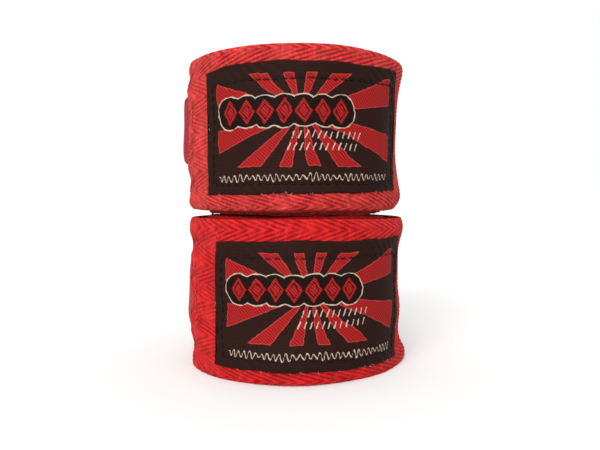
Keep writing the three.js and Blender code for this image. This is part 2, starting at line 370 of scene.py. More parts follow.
def cottonFinish(name, values, dyeAndPaintedLight):
    # Loosely spun cotton: grooves painted darker than the crowns as painted shade in the recesses between the
    # ribs, yarns that cross each rib, short fibres that catch the light, uneven dye, and patches that are a
    # little more worn than others.
    material, tree, shader, add = finishOf(
        name, **{"Roughness": 0.92, "Sheen Weight": 0.1, "Sheen Roughness": 0.5,
                 "Sheen Tint": paint(255, 150, 140), "Specular IOR Level": 0.06})
    place = add("TexCoord").outputs["Object"]
    chart = add("UVMap", uv_map="cloth").outputs[0]
    rib = add("Attribute", attribute_name="rib").outputs["Fac"]
    yarns = add("TexWave", {"Vector": chart, "Scale": 2 * math.pi / (20 * values["yarn"]), "Distortion": 2.2,
                            "Detail": 2.0, "Detail Scale": 1.6}, wave_profile="SIN").outputs["Fac"]
    fibres = add("TexNoise", {"Vector": place, "Scale": 3200.0, "Detail": 3.0}).outputs["Fac"]
    clouds = add("TexNoise", {"Vector": place, "Scale": 70.0, "Detail": 4.0, "Roughness": 0.6}).outputs["Fac"]
    height = sumOf(add, "ADD", sumOf(add, "MULTIPLY", yarns, 0.55), sumOf(add, "MULTIPLY", fibres, 0.7))
    fuzzAndSheen = add("Attribute", attribute_name="fuzzAndSheen").outputs["Fac"]
    rib = add("Mix", {0: fuzzAndSheen, 2: rib, 3: 0.6}).outputs[0]
    share = sumOf(add, "MULTIPLY", rib, sumOf(add, "ADD", sumOf(add, "MULTIPLY", yarns, 0.35), 0.75))
    # the grooves between the ribs take the darker groove colour: painted shade in the recesses
    base = mixed(add, share, paint(*dyeAndPaintedLight["paintedGrooveShade"]), paint(*dyeAndPaintedLight["crown"]))
    knots = add("TexNoise", {"Vector": place, "Scale": 900.0, "Detail": 2.0}).outputs["Fac"]
    knotty = add("MapRange", {0: knots, 1: 0.5, 2: 0.72, 3: 0.0, 4: 1.0}).outputs[0]
    patchy = add("MapRange", {0: clouds, 1: 0.35, 2: 0.75, 3: 0.1, 4: 0.6}).outputs[0]
    # the worn colour marks random worn patches, and where the fuzz share is raised towards the free end it
    # also paints sheen
    wornAndSheen = sumOf(add, "ADD", sumOf(add, "MULTIPLY", knotty, patchy), sumOf(add, "MULTIPLY", fuzzAndSheen, 0.3))
    base = mixed(add, wornAndSheen, base, paint(*dyeAndPaintedLight["wornAndSheen"]))
    uneven = add("TexNoise", {"Vector": place, "Scale": 420.0, "Detail": 3.0, "Roughness": 0.6})
    uneven = uneven.outputs["Fac"]
    spread = values["mottle"]
    uneven = add("MapRange", {0: uneven, 1: 0.3, 2: 0.7, 3: 1 - spread, 4: 1 + spread}).outputs[0]
    flecks = add("MapRange", {0: fibres, 1: 0.3, 2: 0.75, 3: 0.86, 4: 1.12}).outputs[0]
    flecks = sumOf(add, "MULTIPLY", uneven, flecks)
    flecks = add("CombineColor", {0: flecks, 1: flecks, 2: flecks}).outputs[0]
    base = mixed(add, 1.0, base, flecks, "MULTIPLY")
    tree.links.new(base, shader.inputs["Base Color"])
    bump = add("Bump", {"Height": height, "Distance": values["bump"], "Strength": 0.9})
    tree.links.new(bump.outputs[0], shader.inputs["Normal"])
    return material


satin = {
    "ground": (27, 12, 9),
    "thread": (44, 27, 22),
    "red": (146, 32, 30),
    "redShade": (102, 12, 16),
    "rim": (150, 56, 52),
    "cream": (156, 142, 126),
    "dark": (21, 11, 9),
    "pitch": 0.42,  # spacing of the woven lines
}


def satinFinish(name, values):
    # A damask label: signed distances carried by the mesh say where each thread colour shows. Fine level
    # lines cross the ground, and fine slanting lines cross the red.
    material, tree, shader, add = finishOf(
        name, **{"Roughness": 0.6, "Sheen Weight": 0.008, "Sheen Roughness": 0.4, "Specular IOR Level": 0.03})
    chart = add("UVMap", uv_map="cloth").outputs[0]
    place = add("TexCoord").outputs["Object"]
    scale = 2 * math.pi / (20 * values["pitch"])
    level = add("TexWave", {"Vector": chart, "Scale": scale, "Distortion": 0.6, "Detail": 1.0},
                bands_direction="Y").outputs["Fac"]
    slant = add("TexWave", {"Vector": chart, "Scale": scale * 0.8, "Distortion": 0.5, "Detail": 1.0},
                bands_direction="DIAGONAL").outputs["Fac"]
    fibres = add("TexNoise", {"Vector": place, "Scale": 2600.0, "Detail": 2.0}).outputs["Fac"]

    def inside(layer, edge=0.05, at=0.0):
        distance = add("Attribute", attribute_name=layer).outputs["Fac"]
        return add("MapRange", {0: distance, 1: at - edge, 2: at + edge, 3: 0.0, 4: 1.0},
                   interpolation_type="SMOOTHSTEP").outputs[0]

    lines = sumOf(add, "MULTIPLY", level, fibres)
    ground = mixed(add, lines, paint(*values["ground"]), paint(*values["thread"]))
    red = mixed(add, sumOf(add, "MULTIPLY", slant, 0.85), paint(*values["redShade"]), paint(*values["red"]))
    rim = sumOf(add, "SUBTRACT", inside("rays"), inside("rays", at=0.28))
    base = mixed(add, inside("rays"), ground, red)
    base = mixed(add, sumOf(add, "MULTIPLY", rim, 0.55), base, paint(*values["rim"]))
    base = mixed(add, inside("plate"), base, paint(*values["dark"]))
    base = mixed(add, inside("gems"), base, red)
    base = mixed(add, inside("gemLines"), base, paint(*values["dark"]))
    base = mixed(add, inside("cream"), base, paint(*values["cream"]))
    tree.links.new(base, shader.inputs["Base Color"])
    weave = mixed(add, inside("rays"), level, slant)
    height = sumOf(add, "ADD", sumOf(add, "MULTIPLY", weave, 0.8), sumOf(add, "MULTIPLY", fibres, 0.5))
    bump = add("Bump", {"Height": height, "Distance": 0.00005, "Strength": 0.8})
    tree.links.new(bump.outputs[0], shader.inputs["Normal"])
    return material


def webbingFinish(name, colour, shade, pitch, roughness=0.5, shine=0.2):
    # Nylon tape: fine ribs across the length, crossed by finer yarns.
    material, tree, shader, add = finishOf(
        name, **{"Roughness": roughness, "Sheen Weight": 0.03, "Sheen Roughness": 0.35,
                 "Specular IOR Level": shine})
    chart = add("UVMap", uv_map="cloth").outputs[0]
    place = add("TexCoord").outputs["Object"]
    scale = 2 * math.pi / (20 * pitch)
    ribs = add("TexWave", {"Vector": chart, "Scale": scale, "Distortion": 0.4}).outputs["Fac"]
    yarns = add("TexWave", {"Vector": chart, "Scale": scale / 0.7, "Distortion": 0.4},
                bands_direction="Y").outputs["Fac"]
    fibres = add("TexNoise", {"Vector": place, "Scale": 1800.0, "Detail": 3.0}).outputs["Fac"]
    weave = sumOf(add, "MULTIPLY", ribs, sumOf(add, "ADD", sumOf(add, "MULTIPLY", yarns, 0.5), 0.5))
    base = mixed(add, weave, paint(*shade), paint(*colour))
    tree.links.new(base, shader.inputs["Base Color"])
    height = sumOf(add, "ADD", weave, sumOf(add, "MULTIPLY", fibres, 0.3))
    bump = add("Bump", {"Height": height, "Distance": 0.00008, "Strength": 0.8})
    tree.links.new(bump.outputs[0], shader.inputs["Normal"])
    return material


def threadFinish(name, colour, shade, twist=900.0, roughness=0.55, shine=0.25):
    # Sewing thread and monofilament: a fine mottle that reads as twist.
    material, tree, shader, add = finishOf(name, **{"Roughness": roughness, "Specular IOR Level": shine,
                                                    "Sheen Weight": 0.02})
    place = add("TexCoord").outputs["Object"]
    twisted = add("TexNoise", {"Vector": place, "Scale": twist, "Detail": 2.0}).outputs["Fac"]
    share = add("MapRange", {0: twisted, 1: 0.35, 2: 0.65, 3: 0.0, 4: 1.0}).outputs[0]
    tree.links.new(mixed(add, share, paint(*shade), paint(*colour)), shader.inputs["Base Color"])
    bump = add("Bump", {"Height": twisted, "Distance": 0.00005, "Strength": 0.6})
    tree.links.new(bump.outputs[0], shader.inputs["Normal"])
    return material


finishes = {
    **{roll["name"]: cottonFinish(f"{roll['name']} wrap's cotton twill", cotton, roll["dyeAndPaintedLight"])
       for roll in rolls},
    "label": satinFinish("woven label", satin),
    "strap": webbingFinish("crimson nylon tape", (150, 18, 34), (104, 6, 20), 0.55),
    "tape": webbingFinish("red cotton tape", (150, 28, 34), (100, 10, 18), 0.8, 0.85),
    "patch": webbingFinish("crimson knitted backing", (126, 15, 34), (78, 5, 19), 0.6, 0.7),
    "hooks": threadFinish("crimson hooks", (150, 26, 52), (118, 10, 34), 400.0, 0.3),
    "pile": threadFinish("crimson pile", (140, 18, 38), (92, 6, 20), 700.0, 0.8),
    "blackThread": threadFinish("black thread", (15, 10, 9), (6, 4, 4), shine=0.1),
    "redThread": threadFinish("red thread", (176, 38, 38), (140, 22, 24)),
    "paleThread": threadFinish("frayed ends", (150, 139, 126), (94, 82, 72)),
}

# The band

twill = {
    "period": 3.92,  # from rib to rib along the band
    "slope": 3.0,  # how far a rib runs along the band for each millimetre across it
    "columns": 8,  # columns of the zigzag between the two narrow ones at the edges
    "crowns": [0.0, 0.2, 0.55, 0.87, 1.0, 0.87, 0.55, 0.2],  # height over one rib
    "depth": 0.24,
    "row": 0.95,
    "stray": 0.25,  # how far the ribs wander along the band
    "fuzzAndSheen": 0.14,  # share of the cloth where handling has blurred the ribs; the free end has more, partly wear and partly painted sheen on the side the light comes from
    "endFade": 17.0,  # length over which the ribs give way to the straight hem
}
ribStep = twill["period"] / len(twill["crowns"])


def columnMarks(roll):
    # The levels at which the ribs turn back: the band's two edges, and evenly spaced marks between them.
    return np.array([0.0, *np.linspace(*roll["zigzag"], twill["columns"] + 1), winding["width"]])


def ribShift(roll, v):
    # How far along the band a rib has moved at a level: a zigzag that turns back at each column's edge.
    marks = columnMarks(roll)
    slopes = twill["slope"] * (-1.0) ** (np.arange(len(marks) - 1) + 1)
    return np.interp(v, marks, np.concatenate([[0], np.cumsum(np.diff(marks) * slopes)]))


def bandSection(roll):
    # The band's cross-section as a closed loop of level, height above the outer face, and share of the ribs:
    # rows over the outer face, a round edge, the same rows over the back, and the other round edge. It starts
    # halfway round the lower edge, so that the end caps pair points at the same level.
    half, width = winding["thickness"] / 2, winding["width"]
    marks = [half, *columnMarks(roll)[1:-1], width - half]
    rows = np.concatenate([
        np.linspace(low, high, round((high - low) / twill["row"]) + 1)[:-1]
        for low, high in zip(marks, marks[1:])
    ])
    rows = np.append(rows, width - half)
    edge = np.linspace(0, np.pi, 6)[1:-1]
    v = np.concatenate([rows, width - half + half * np.sin(edge), rows[::-1], half - half * np.sin(edge)])
    n = np.concatenate([0 * rows, half * np.cos(edge) - half,
                        0 * rows - 2 * half, -half * np.cos(edge) - half])
    fading = np.linspace(0.9, 0.3, len(edge))
    ribs = np.concatenate([0 * rows + 1, fading, 0 * rows, fading[::-1]])
    return [np.roll(column, len(edge) // 2) for column in (v, n, ribs)]


def relief(roll, angle, v):
    # How far the free end stands off over the strap's root, falling back to the roll above and below it.
    fromStrap = np.abs(v - winding["width"] / 2 - roll["strapRaise"])
    side = 1 - smooth(fromStrap, freeEnd["drapeFrom"], freeEnd["drapeTo"])
    return freeEnd["relief"] * side * smooth(angle, tabFold + 0.5, rootFrom - 0.5)


def bandStretch(roll, name, start, end, hemmed=False):
    # A stretch of twill. Every column of points follows one line of ribs, so a column at a length carries
    # the zigzag shift at each level, and its height is the rib's height at that phase. At the hem the shift
    # fades, and a folded edge lies on the face, pressed down along its row of stitches.
    first, last = round(start / ribStep), round(end / ribStep)
    column = np.arange(first, last + 1)
    v, n, share = bandSection(roll)
    along = (column * ribStep)[:, None]
    fade = 1 - smooth(along, end - twill["endFade"], end) if hemmed else 1.0
    length = along + (ribShift(roll, v) - ribShift(roll, winding["width"] / 2) / 2)[None, :] * fade
    length = length + twill["stray"] * fade * waver(length, v[None, :], 4.0, roll["seed"] + 6)
    crown = np.array(twill["crowns"])[column % len(twill["crowns"])][:, None] * np.ones_like(v)[None, :]
    loose = 1 + 0.5 * waver(length, v[None, :], 3.0, roll["seed"] + 5)
    height = n[None, :] - twill["depth"] * share[None, :] * (1 - crown) * loose
    angle = angleAt(length)
    if hemmed:
        fold = smooth(along, end - 11, end - 9.5) * 0.18 * (1 - bell(along, end - 1.6, 0.7))
        height = height + relief(roll, angle, v[None, :]) + fold * (n[None, :] > -0.1)
    level = np.broadcast_to(v[None, :], length.shape)
    points = wrapped(roll, length, level, height)
    fuzzAndSheen = twill["fuzzAndSheen"] + 0.28 * waver(length, level, 7, roll["seed"] + 9)
    # towards the free end, on the side that the key light comes from, blurrier ribs and more of the paler
    # worn colour: partly wear, partly painted sheen
    fuzzAndSheen = fuzzAndSheen + 0.25 * smooth(angle, labelTo - 3, labelTo + 3)
    return makePiece(name, points, stripFaces(*length.shape), finishes[roll["name"]],
                     np.stack([length, level], -1), {"rib": crown, "fuzzAndSheen": np.clip(fuzzAndSheen, 0, 0.9)})


def innerTurns(roll, name, start, end):
    # The turns inside the roll: a spiral of plain band with round, slightly uneven rims, and a few rows
    # between them so that it follows the swells. The steps are even in turn, and close enough to look round.
    half = 0.41  # half of the thickness, a little swollen so that the turns close up
    width = winding["width"]
    angle = np.linspace(start, end, int((end - start) / 7.5) + 1)
    edge, rows = np.linspace(0, np.pi, 6), np.linspace(half, width - half, 12)[1:-1]
    v = np.concatenate([width - half + half * np.sin(edge), rows[::-1], half - half * np.sin(edge), rows])
    n = np.concatenate([half * np.cos(edge), 0 * rows - half, -half * np.cos(edge), 0 * rows + half])
    v, n = np.roll(v, -3), np.roll(n, -3) - winding["thickness"] / 2
    length = np.broadcast_to(lengthAt(angle)[:, None], (len(angle), len(v)))
    level = np.broadcast_to(v[None, :], length.shape)
    side = np.sign(level - width / 2)
    turn = angle[:, None] / 360
    uneven = 0.32 * waver(length, turn * 7, 26, roll["seed"] + 7)
    uneven = uneven + 0.16 * waver(length, turn * 31, 5, roll["seed"] + 8)
    beads = 0.05 * np.sin(length * 2 * np.pi / 1.9)
    points = wrapped(roll, length, level, np.broadcast_to(n[None, :], length.shape))
    points[..., 2] += mm * (uneven * 0.8 + beads * side - 0.25 * side)
    points[..., 2] = np.clip(points[..., 2], 0, None)
    return makePiece(name, points, stripFaces(*length.shape), finishes[roll["name"]],
                     np.stack([length, level], -1),
                     {"rib": np.full(length.shape, 0.85), "fuzzAndSheen": np.full(length.shape, 0.3)})


# The label


def labelArt(a, b):
    # Signed distances in millimetres, positive inside, of a plain wordless badge: twelve even rays in a
    # rectangle, a plate of seven equal circles with an equal lozenge in each, two even rows of slanting ticks
    # and a running wave.
    rectangle = np.minimum.reduce([a - 5.3, 64.8 - a, b - 8.2, 35.8 - b])
    away, turn = np.hypot(a - 32.2, b - 23.4), np.degrees(np.arctan2(b - 23.4, a - 32.2))
    off = np.abs(turn % 30 - 15)
    rays = np.minimum(rectangle, away * np.sin(np.radians(7.2 - off)))
    lobes = 10.2 + 5.75 * np.arange(7)
    plate = np.max([4.9 - np.hypot(a - x, b - 24.6) for x in lobes], 0)
    gem = np.max([(1 - np.abs(a - x) / 2.9 - np.abs(b - 24.6) / 4.2) * 2.4 for x in lobes], 0)
    outline = 0.18 - np.abs(plate)

    def ticks(low, high, start, count, step):
        lean = a - 0.35 * (b - low)
        index = np.round((lean - start) / step)
        bar = 0.22 - np.abs(lean - start - index * step)
        bar = np.minimum(bar, np.minimum(b - low, high - b))
        return np.where((index < 0) | (index >= count), -1.0, bar)

    small = np.maximum(ticks(16.4, 18.6, 29.6, 12, 1.9), ticks(13.0, 15.2, 28.4, 12, 1.9))
    swing = 0.85 + 0.35 * np.sin(a * 0.83) * np.sin(a * 0.31)
    line = 4.9 + swing * np.sin(a * 2 * np.pi / 1.9)
    steep = swing * 2 * np.pi / 1.9 * np.cos(a * 2 * np.pi / 1.9)
    wave = np.minimum(0.15 - np.abs(b - line) / np.sqrt(1 + steep**2), np.minimum(a - 6, 63.6 - a))
    cream = np.maximum.reduce([outline, small, wave])
    gemLines = 0.17 - np.abs(gem - 1.1)
    return {"rays": rays, "plate": plate, "gems": gem - 0.2, "gemLines": gemLines, "cream": cream}


def labelPlace(roll, a, b):
    # Label coordinates, rightwards and up from its lower left corner, to length along the band and level.
    bendA, bendB = 0, 0
    for moveA, atA, spreadA, moveB, atB, spreadB in roll["labelBends"]:
        pull = bell(a, atA, spreadA) * bell(b, atB, spreadB)
        bendA, bendB = bendA + moveA * pull, bendB + moveB * pull
    edge = 0.2 * waver(a, b, 9, roll["seed"] + 2) + 0.08 * waver(a, b, 2.2, roll["seed"] + 10)
    low = winding["width"] / 2 - roll["labelDrop"] - label["height"] / 2
    stretch = lengthAt(labelTo) / (label["length"] + label["margin"])
    return lengthAt(labelTo) - (a + bendA + edge) * stretch, low + b + bendB + edge * 0.7


def labelHeight(roll, a, b, art):
    # The label's face above the band: round at the folded edges, sunk along the seam, puckered between the
    # seam and the edge, and a thread's depth higher where a colour floats.
    inset, top = label["seamInset"], label["height"] - label["seamTop"]
    toEdge = np.minimum.reduce([a, label["length"] - a, b, label["height"] - b])
    rounding = np.sqrt(1 - (1 - np.clip(toEdge / label["edge"], 0, 1)) ** 2)
    toSeam = np.minimum.reduce([a - inset, label["length"] - inset - a, b - inset, top - b])
    seam = bell(toSeam, 0, 0.45)
    pucker = np.sin(2 * np.pi * (a + b) / 3.9 + 2.0 * waver(a, b, 14, roll["seed"] + 3))
    margin = smooth(-toSeam, -1.5, 0.6) * smooth(toEdge, 0.0, 1.2)
    floats = smooth(np.maximum.reduce([art["rays"], art["gems"], art["cream"] + 0.1]), -0.1, 0.15)
    slack = 0.10 * waver(a, b, 22, roll["seed"] + 4)
    return (0.12 + (label["thickness"] + 0.05) * rounding - 0.2 * seam + 0.11 * pucker * margin
            + 0.05 * floats + slack * smooth(toEdge, 0, 3))


def wovenLabel(roll, name):
    # The label: a grid over its face in label coordinates, closed by a flat back of a few rows.
    across = np.linspace(0, label["length"], round(label["length"] / label["cell"]) + 1)
    up = np.linspace(0, label["height"], round(label["height"] / label["cell"]) + 1)
    back = np.linspace(label["height"], 0, 13 - len(up) % 2)
    b = np.concatenate([up, back])
    a, b = np.meshgrid(across, b, indexing="ij")
    art = labelArt(a + 0.07 * waver(a, b, 1.1, 41), b + 0.07 * waver(a, b, 1.1, 42))
    front = np.arange(b.shape[1]) < len(up)
    height = np.where(front[None, :], labelHeight(roll, a, b, art), 0.08)
    length, level = labelPlace(roll, a, b)
    art = {layer: np.where(front[None, :], values, -2.0) for layer, values in art.items()}
    return makePiece(name, wrapped(roll, length, level, height), stripFaces(*a.shape), finishes["label"],
                     np.stack([a, b], -1), art)


# Stitching, hooks and loops


def seamPlaces(corners, spacing):
    # Evenly spaced places along straight runs between the corners: position, and heading of the run.
    places = []
    for (x0, y0), (x1, y1) in zip(corners, corners[1:]):
        run = math.hypot(x1 - x0, y1 - y0)
        count = max(1, round(run / spacing))
        share = (np.arange(count) + 0.5) / count
        heading = np.full(count, math.atan2(y1 - y0, x1 - x0))
        places.append(np.stack([x0 + (x1 - x0) * share, y0 + (y1 - y0) * share, heading], -1))
    return np.concatenate(places)


def stitchShape(length, radius):
    # One stitch: a short tube that rises out of the cloth at one end and dives into it at the other.
    t = np.linspace(-1, 1, 7)
    return planarTube(t * length / 2, radius * (0.9 - 1.5 * t**4), radius * (1 - 0.55 * t**6), 6)


def box(left, right, low, high):
    # the corners of a rectangle in order, back to the first
    return [(left, low), (right, low), (right, high), (left, high), (left, low)]


def labelStitches(roll, name):
    # One line of stitches along the label's seam, each lying on the label's face.
    inset, top = label["seamInset"], label["height"] - label["seamTop"]
    places = seamPlaces(box(inset, label["length"] - inset, inset, top), 2.6)
    a, b, heading = places.T
    height = labelHeight(roll, a, b, labelArt(a, b)) + 0.06
    length, level = labelPlace(roll, a, b)
    return scatter(roll, name, stitchShape(2.1, 0.19), np.stack([length, level, height, -heading], -1),
                   finishes["blackThread"])


def labelFrays(roll, name):
    # Pale ends of broken thread that stand out of the label's cut edges, most of them along the bottom.
    rng = np.random.default_rng(roll["seed"] + 40)
    bottom = np.stack([rng.uniform(4, 66, 26), rng.normal(0.25, 0.25, 26)], -1)
    left = np.stack([rng.normal(0.4, 0.3, 7), rng.uniform(3, 36, 7)], -1)
    a, b = np.concatenate([bottom, left]).T
    length, level = labelPlace(roll, a, b)
    height = 0.35 + rng.uniform(0, 0.15, len(a))
    t = np.linspace(-1, 1, 5)
    shape = planarTube(0.55 * t, 0.12 * (1 - t**2), 0.07 * (1.1 - t**2 * 0.6), 4)
    places = np.stack([length, level, height, rng.uniform(0, np.pi, len(a))], -1)
    return scatter(roll, name, shape, places, finishes["paleThread"], rng.uniform(0.4, 1.1, len(a)))


def strapLift(roll, angle, across):
    # The strap steps up onto the loop patch, and its middle bows out a little where it leaves the hem.
    # Across runs from -1 to 1 over the strap's height.
    start = hem + turnOf(patch["rise"] + roll["setback"])
    bow = roll["bow"] * bell(angle, hem + 9, 9) * smooth(angle, hem - 6, hem + 1) * (1 - 0.75 * across**4)
    step = patch["backing"] + patch["pile"] + 0.3
    return step * smooth(angle, start - turnOf(patch["rise"]), start) + bow


def hookStrap(roll, name):
    # The strap's backing: a strip with round edges whose height narrows to the round corners of the tip.
    start, end = lengthAt(rootFrom), lengthAt(strapTip)
    along = np.linspace(start, end, 110)
    corner = np.clip((along - end + strap["corner"]) / strap["corner"], 0, 0.985)
    half = strap["height"] / 2 - strap["corner"] * (1 - np.sqrt(1 - corner**2))
    share = np.concatenate([np.linspace(-1, 1, 36), np.linspace(1, -1, 14)])
    outer = np.arange(len(share)) < 36
    length, across = np.meshgrid(along, share, indexing="ij")
    level = winding["width"] / 2 + roll["strapRaise"] + half[:, None] * across
    toEdge = np.minimum(half[:, None] * (1 - np.abs(across)), end - length + 0.02)
    rounding = np.sqrt(1 - (1 - np.clip(toEdge / 0.5, 0, 1)) ** 2)
    thick = strap["backing"] * (0.45 + 0.55 * rounding)
    edge = 0.06 * bell(toEdge, 1.3, 0.4)
    base = -winding["thickness"] + strap["hook"] + strapLift(roll, angleAt(length), across)
    base = base - 0.35 * smooth(np.abs(across), 0.8, 1.0) ** 2 * smooth(length, start + 12, start + 16)
    height = base + np.where(outer[None, :], thick + edge, 0)
    return makePiece(name, wrapped(roll, length, level, height), stripFaces(*length.shape), finishes["strap"],
                     np.stack([length, level], -1))


def strapHooks(roll, name):
    # Rows of tiny hooks on the strap's inner face, past the root: a stem that bends over at its end.
    t = np.linspace(0, 1, 6)
    bend = np.pi * np.clip(t - 0.45, 0, 1) / 0.55
    down = -0.36 * np.minimum(t / 0.5, 1) - 0.12 * np.sin(bend) + 0.02
    shape = planarTube(0.16 - 0.16 * np.cos(bend), down, np.full(6, 0.065), 4)
    start, end = lengthAt(rootFrom) + strap["root"] + 2, lengthAt(strapTip) - 2.2
    length, level = np.meshgrid(np.arange(start, end, 1.45), np.arange(-9.6, 9.7, 1.2), indexing="ij")
    length = length + 0.7 * (np.arange(length.shape[1]) % 2)[None, :]
    keep = ~((length > end - 4) & (np.abs(level) > 7.2))
    length, across = length[keep], level[keep] * 2 / strap["height"]
    level = winding["width"] / 2 + roll["strapRaise"] + level[keep]
    base = -winding["thickness"] + strap["hook"] + strapLift(roll, angleAt(length), across)
    heading = np.where(np.arange(len(length)) % 2, 0.0, np.pi)
    return scatter(roll, name, shape, np.stack([length, level, base, heading], -1), finishes["hooks"])


def seamOnCloth(roll, name, corners, height):
    # A line of red stitches through the corners, with a height for each place, and a sixth of each step bare.
    length, level, heading = seamPlaces(corners, 2.2).T
    places = np.stack([length, level, height(length, level), heading], -1)
    return scatter(roll, name, stitchShape(1.848, 0.18), places, finishes["redThread"])


def loopPatch(roll, name):
    # The patch's backing: a rectangle of knitted tape whose rounded edges lie on the turn under it.
    start, end = patchStart(roll)
    along = np.linspace(start, end, 90)
    half = patch["height"] / 2
    share = np.concatenate([np.linspace(-1, 1, 40), np.linspace(1, -1, 14)])
    outer = np.arange(len(share)) < 40
    length, across = np.meshgrid(along, share, indexing="ij")
    toEdge = np.minimum.reduce([half * (1 - np.abs(across)), length - start, end - length]) + 0.02
    rounding = np.sqrt(1 - (1 - np.clip(toEdge / 0.4, 0, 1)) ** 2)
    height = 0.1 + np.where(outer[None, :], 0.15 + (patch["backing"] + 0.05) * rounding, 0)
    level = winding["width"] / 2 + half * across
    return makePiece(name, wrapped(roll, length, level, height), stripFaces(*length.shape), finishes["patch"],
                     np.stack([length, level], -1))


def patchStart(roll):
    # The patch lies on the turn under the free end, one whole turn back along the band.
    start = lengthAt(hem + turnOf(patch["rise"] + roll["setback"]) - 360)
    return start, start + patch["length"]


def patchPile(roll, name):
    # The loop pile: small arches of yarn, each turned, leaning and sized a little at random.
    rng = np.random.default_rng(roll["seed"] + 60)
    t = np.linspace(0, np.pi, 7)
    shape = planarTube(0.42 * np.cos(t), 0.62 * np.sin(t) - 0.05, np.full(7, 0.11), 4)
    start, end = patchStart(roll)
    border, half = patch["border"], patch["height"] / 2
    length, level = np.meshgrid(np.arange(start + border, end - border, 0.98),
                                np.arange(border - half, half - border, 0.98), indexing="ij")
    length = (length + rng.normal(0, 0.16, length.shape)).ravel()
    level = (winding["width"] / 2 + level + rng.normal(0, 0.16, level.shape)).ravel()
    places = np.stack([length, level, np.full(len(length), 0.35), rng.uniform(0, np.pi, len(length))], -1)
    return scatter(roll, name, shape, places, finishes["pile"], rng.uniform(0.75, 1.05, len(length)))


# The thumb loop in the core

thumb = {"width": 15.0, "tape": 0.55, "eye": 0.15, "pitch": 1.5, "turns": 2.0, "clear": 0.675}
coreHole = winding["radius"] - winding["thickness"] - winding["pitch"] * winding["turns"]
coreFace = coreHole * math.cos(math.radians(15)) - 0.3  # clear of the flats of the innermost turn


def thumbLoop(roll, name):
    # A flat-pressed ring of tape, coiled in the core: the tape follows a spiral inwards on one side of its
    # middle line, turns back round the end, and returns on the other side. Its section is a rounded bar.
    start = -360.0 * winding["turns"] - turnOf(0.3 + thumb["clear"], coreFace - thumb["clear"])
    offset = thumb["eye"] / 2 + thumb["tape"] / 2 + 0.02
    turn = np.linspace(0, thumb["turns"], 90)
    cap = np.linspace(0, np.pi, 8)[1:-1]
    turn = np.concatenate([turn, np.full(6, turn[-1]), turn[::-1], np.zeros(6)])
    side = np.concatenate([np.full(90, 1.0), np.cos(cap), np.full(90, -1.0), -np.cos(cap)]) * offset
    beyond = np.concatenate([np.zeros(90), np.sin(cap), np.zeros(90), -np.sin(cap)]) * offset
    around = np.radians(labelMiddle - start + roll["facing"]) + 2 * np.pi * turn
    radius = coreFace - thumb["clear"] - thumb["pitch"] * turn
    around = around + beyond / radius
    path = np.stack([(radius + side) * np.sin(around), -(radius + side) * np.cos(around)], -1)
    head = np.roll(path, -1, 0) - np.roll(path, 1, 0)
    out = np.stack([head[:, 1], -head[:, 0]], -1) / np.linalg.norm(head, axis=1)[:, None]
    half, tall, r = thumb["tape"] / 2, thumb["width"] / 2, 0.2
    bend = np.linspace(0, np.pi / 2, 4)
    z = np.concatenate([tall - r + r * np.sin(bend), tall - r + r * np.cos(bend),
                        -tall + r - r * np.sin(bend), -tall + r - r * np.cos(bend)])
    n = np.concatenate([half - r + r * np.cos(bend), -half + r - r * np.sin(bend),
                        -half + r - r * np.cos(bend), half - r + r * np.sin(bend)])
    middle = roll["level"] + winding["width"] / 2 + roll["shift"]
    points = np.empty((len(path), len(z), 3))
    points[..., 0] = roll["axis"][0] + path[:, None, 0] + out[:, None, 0] * n[None, :]
    points[..., 1] = roll["axis"][1] + path[:, None, 1] + out[:, None, 1] * n[None, :]
    points[..., 2] = middle + z[None, :]
    run = np.cumsum(np.linalg.norm(head, axis=1)) / 2
    chart = np.stack(np.broadcast_arrays(run[:, None], z[None, :]), -1)
    return makePiece(name, points * mm, stripFaces(len(path), len(z), closed=True), finishes["tape"], chart)


def bartack(roll, name):
    # The dense bar of stitches at the loop's root: level threads side by side, over the height of the tape.
    count = 34
    t = np.linspace(-1, 1, 7)
    middle = math.radians(labelMiddle + 360 * winding["turns"] + roll["facing"]) - 1.25 / coreFace
    up = np.linspace(-1, 1, count)[:, None, None] * (thumb["width"] / 2 - 0.35)
    circle = 2 * np.pi * np.arange(6) / 6
    thick = 0.24 * (1 - 0.6 * t**6)[None, :, None]
    radius = coreFace - 0.5 - 0.35 * (1 - t[None, :, None] ** 4) + thick * np.cos(circle)[None, None, :]
    around = middle + 1.2 * t[None, :, None] / coreFace + np.zeros((count, 1, 6))
    z = up + thick * np.sin(circle)[None, None, :] + np.zeros((count, 7, 6))
    radius = radius + np.zeros((count, 7, 6))
    level = roll["level"] + winding["width"] / 2 + roll["shift"]
    x, y = roll["axis"][0] + radius * np.sin(around), roll["axis"][1] - radius * np.cos(around)
    points = mm * np.stack([x, y, level + z], -1)
    faces = (stripFaces(7, 6)[None] + np.arange(count)[:, None, None] * 42).reshape(-1, 4)
    return makePiece(name, points, faces, finishes["redThread"])


# Camera, lights and floor

view = {
    "from": (1.95, -208.4, 57.45),  # relative to the rolls' axis on the floor
    "down": 2.81,
    "lens": 34.54,
}
lights = [  # name, where it shines from, strength, angle that it spans, colour
    ("key", (-0.22, -0.85, 0.5), 4.0, 50, (1.0, 0.98, 0.97)),
]


